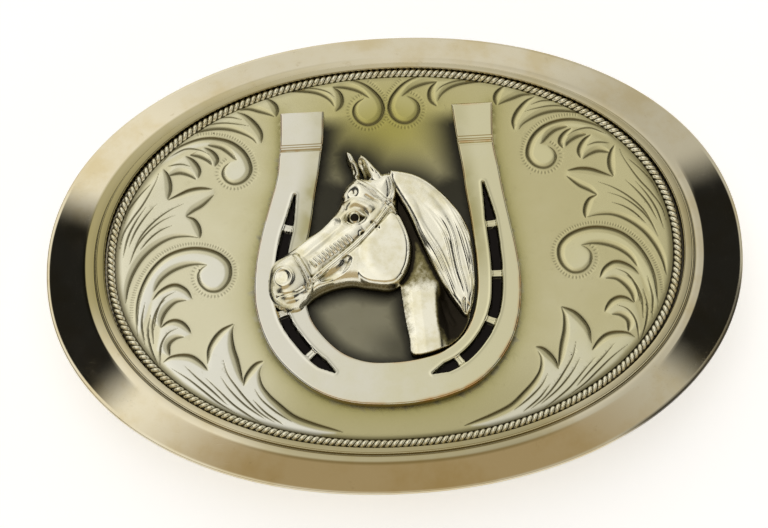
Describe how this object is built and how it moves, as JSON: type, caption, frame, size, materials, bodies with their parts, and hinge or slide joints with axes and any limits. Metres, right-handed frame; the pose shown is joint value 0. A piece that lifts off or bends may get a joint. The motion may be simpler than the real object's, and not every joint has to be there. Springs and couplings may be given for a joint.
{
  "type": "belt buckle",
  "caption": "Oval Western trophy belt buckle with a bevelled rim, roped edge, engraved face, horseshoe and horse's head, and a hinged belt loop and fixed hook on its back.",
  "frame": {"origin": "on the surface that the buckle lies on, under the middle of the oval", "axes": "+X to the viewer's right of someone who faces the front, towards the loop's hinge; +Y up as worn; +Z out of the front"},
  "size_m": [0.095, 0.066, 0.0142],
  "materials": {
    "bright_nickel_silver": "polished nickel silver, tarnished warm",
    "satin_nickel_silver": "hand-engraved, satin ground with an olive-yellow tarnish",
    "roped_nickel_silver": "twisted wire, dark in its grooves",
    "shoe_nickel_silver": "polished, worn to bronze on its corners",
    "horse_nickel_silver": "cast, bright on its high parts and oxidised dark in its recesses",
    "back_metal": "brushed, dulled and lightly scratched",
    "steel": "nickel-plated steel"
  },
  "bodies": {
    "buckle": {"rim_base": "bright_nickel_silver", "back_plate": "back_metal", "face_plate": "satin_nickel_silver", "rope_edge": "roped_nickel_silver", "horseshoe": "shoe_nickel_silver", "horse_head": "horse_nickel_silver", "bail_bracket": "back_metal", "bracket_rivet_lower": "steel", "bracket_rivet_upper": "steel", "hook_pad": "back_metal", "hook_post": "steel"},
    "bail": {"bail_loop": "steel"}
  },
  "joints": [
    {"name": "bail_hinge", "type": "hinge", "parent": "buckle", "child": "bail", "pos_m": [0.027, 0, 0.0026], "axis": [0, 1, 0], "range_deg": [-187, 18]}
  ]
}
